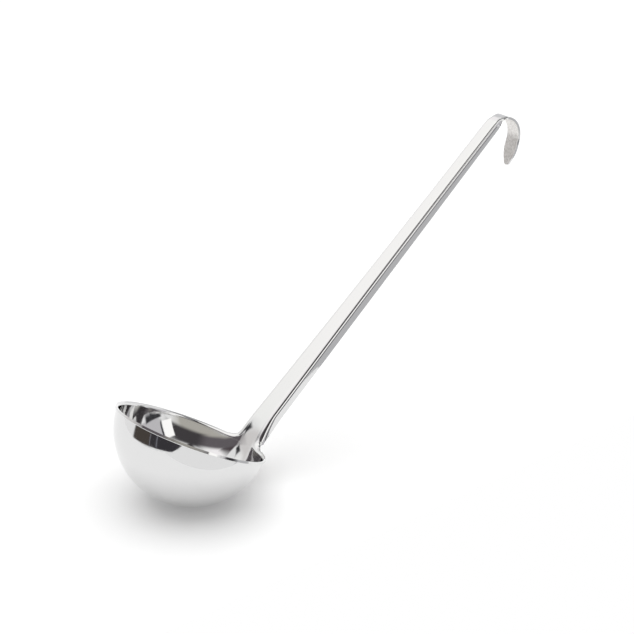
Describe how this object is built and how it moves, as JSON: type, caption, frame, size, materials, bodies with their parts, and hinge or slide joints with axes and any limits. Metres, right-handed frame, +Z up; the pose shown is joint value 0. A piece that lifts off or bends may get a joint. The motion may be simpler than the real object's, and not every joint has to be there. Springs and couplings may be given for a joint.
{
  "type": "soup ladle",
  "caption": "Soup ladle in polished stainless steel: tipped round bowl with a turned lip, channel-section handle rising from a flared neck, and a hook bent back at its top.",
  "frame": {"origin": "centre of the hook's bend, at the middle of the strip's width", "axes": "+Z up in the pictured stance, with the bowl tipped and the handle rising; +X level, from the bowl towards the hook; +Y level, along the axis of the hook's bend. The ladle's plane of symmetry is XZ."},
  "size_m": [0.3362, 0.1016, 0.1988],
  "materials": {
    "stainless_steel": "mirror polished, satin on the inside of the hook and tongue"
  },
  "bodies": {
    "root": {"bowl": "stainless_steel", "rim_lip": "stainless_steel", "neck": "stainless_steel", "handle": "stainless_steel", "hook": "stainless_steel", "hook_tongue": "stainless_steel"}
  },
  "joints": []
}
